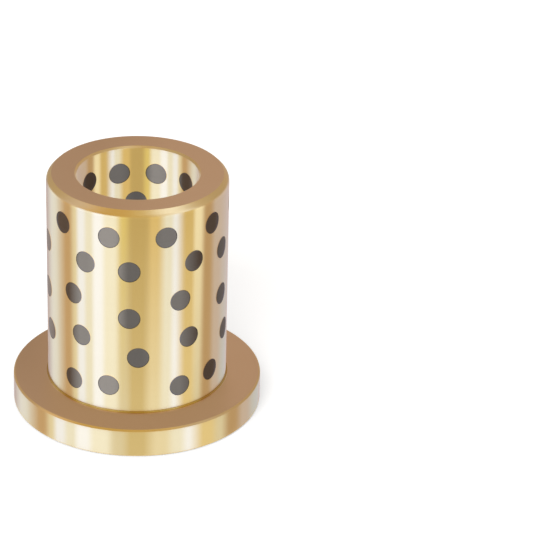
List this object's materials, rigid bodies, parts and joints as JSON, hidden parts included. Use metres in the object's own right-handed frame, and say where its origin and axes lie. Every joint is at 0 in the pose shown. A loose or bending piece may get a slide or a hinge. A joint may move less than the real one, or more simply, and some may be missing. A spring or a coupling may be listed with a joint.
{
  "type": "flanged bushing",
  "caption": "Self-lubricating flanged plain bearing bush: a turned bronze sleeve with a flange at one end and graphite plugs pressed in its wall.",
  "frame": {"origin": "centre of the flange's underside, on the bore's axis", "axes": "+Z along the bore, from the flange to the rim; +X and +Y lie in the flange's underside"},
  "size_m": [0.025, 0.025, 0.025],
  "materials": {
    "bronze": "satin",
    "graphite": "satin"
  },
  "bodies": {
    "root": {"bronze_body": "bronze", "graphite_plug_row1_01": "graphite", "graphite_plug_row1_02": "graphite", "graphite_plug_row1_03": "graphite", "graphite_plug_row1_04": "graphite", "graphite_plug_row1_05": "graphite", "graphite_plug_row1_06": "graphite", "graphite_plug_row1_07": "graphite", "graphite_plug_row1_08": "graphite", "graphite_plug_row1_09": "graphite", "graphite_plug_row1_10": "graphite", "graphite_plug_row2_01": "graphite", "graphite_plug_row2_02": "graphite", "graphite_plug_row2_03": "graphite", "graphite_plug_row2_04": "graphite", "graphite_plug_row2_05": "graphite", "graphite_plug_row3_01": "graphite", "graphite_plug_row3_02": "graphite", "graphite_plug_row3_03": "graphite", "graphite_plug_row3_04": "graphite", "graphite_plug_row3_05": "graphite", "graphite_plug_row4_01": "graphite", "graphite_plug_row4_02": "graphite", "graphite_plug_row4_03": "graphite", "graphite_plug_row4_04": "graphite", "graphite_plug_row4_05": "graphite", "graphite_plug_row5_01": "graphite", "graphite_plug_row5_02": "graphite", "graphite_plug_row5_03": "graphite", "graphite_plug_row5_04": "graphite", "graphite_plug_row5_05": "graphite", "graphite_plug_row6_01": "graphite", "graphite_plug_row6_02": "graphite", "graphite_plug_row6_03": "graphite", "graphite_plug_row6_04": "graphite", "graphite_plug_row6_05": "graphite", "graphite_plug_row7_01": "graphite", "graphite_plug_row7_02": "graphite", "graphite_plug_row7_03": "graphite", "graphite_plug_row7_04": "graphite", "graphite_plug_row7_05": "graphite", "graphite_plug_row8_01": "graphite", "graphite_plug_row8_02": "graphite", "graphite_plug_row8_03": "graphite", "graphite_plug_row8_04": "graphite", "graphite_plug_row8_05": "graphite", "graphite_plug_row9_01": "graphite", "graphite_plug_row9_02": "graphite", "graphite_plug_row9_03": "graphite", "graphite_plug_row9_04": "graphite", "graphite_plug_row9_05": "graphite"}
  },
  "joints": []
}
